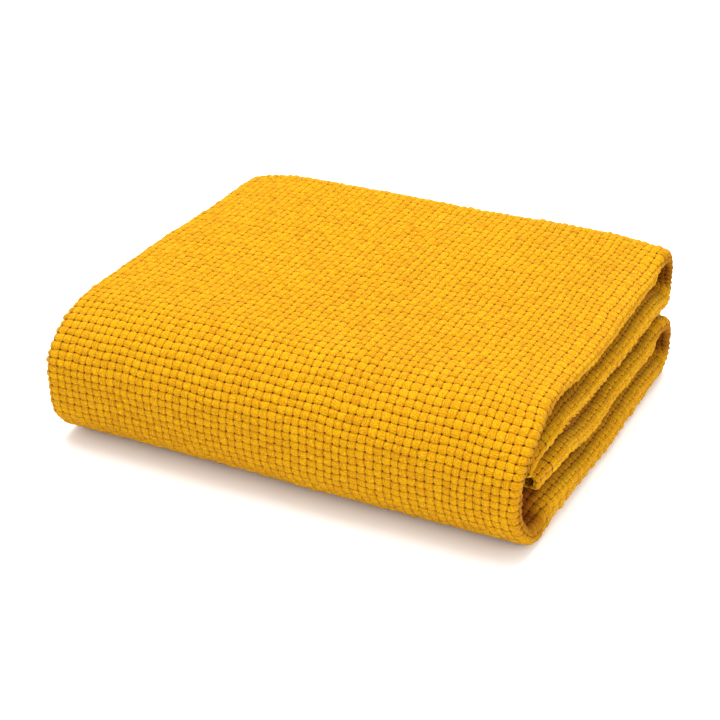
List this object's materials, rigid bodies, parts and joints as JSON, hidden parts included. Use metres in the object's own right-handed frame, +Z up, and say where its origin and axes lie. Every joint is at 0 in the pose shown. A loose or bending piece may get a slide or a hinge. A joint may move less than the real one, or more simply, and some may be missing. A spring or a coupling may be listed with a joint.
{
  "type": "folded throw blanket",
  "caption": "Thick woven cotton throw blanket, folded lengthwise and then closed like a book into a flat rounded block.",
  "frame": {"origin": "under the middle of the folded block, on the surface that it rests on", "axes": "+X towards the smooth fold that closes the layers, -Y towards the rounded front wrap, +Z up"},
  "size_m": [0.389, 0.341, 0.1188],
  "materials": {
    "woven_cotton": "thick plain weave of soft mustard yellow cotton yarn",
    "hem_cotton": "the same cotton pressed flat in a narrow hem band",
    "seam_thread": "matching cotton sewing thread"
  },
  "bodies": {
    "root": {"woven_panel": "woven_cotton", "side_hem_outer": "hem_cotton", "side_seam_outer": "seam_thread", "side_hem_inner": "hem_cotton", "side_seam_inner": "seam_thread", "end_hem_upper": "hem_cotton", "end_seam_upper": "seam_thread", "end_hem_lower": "hem_cotton", "end_seam_lower": "seam_thread"}
  },
  "joints": []
}
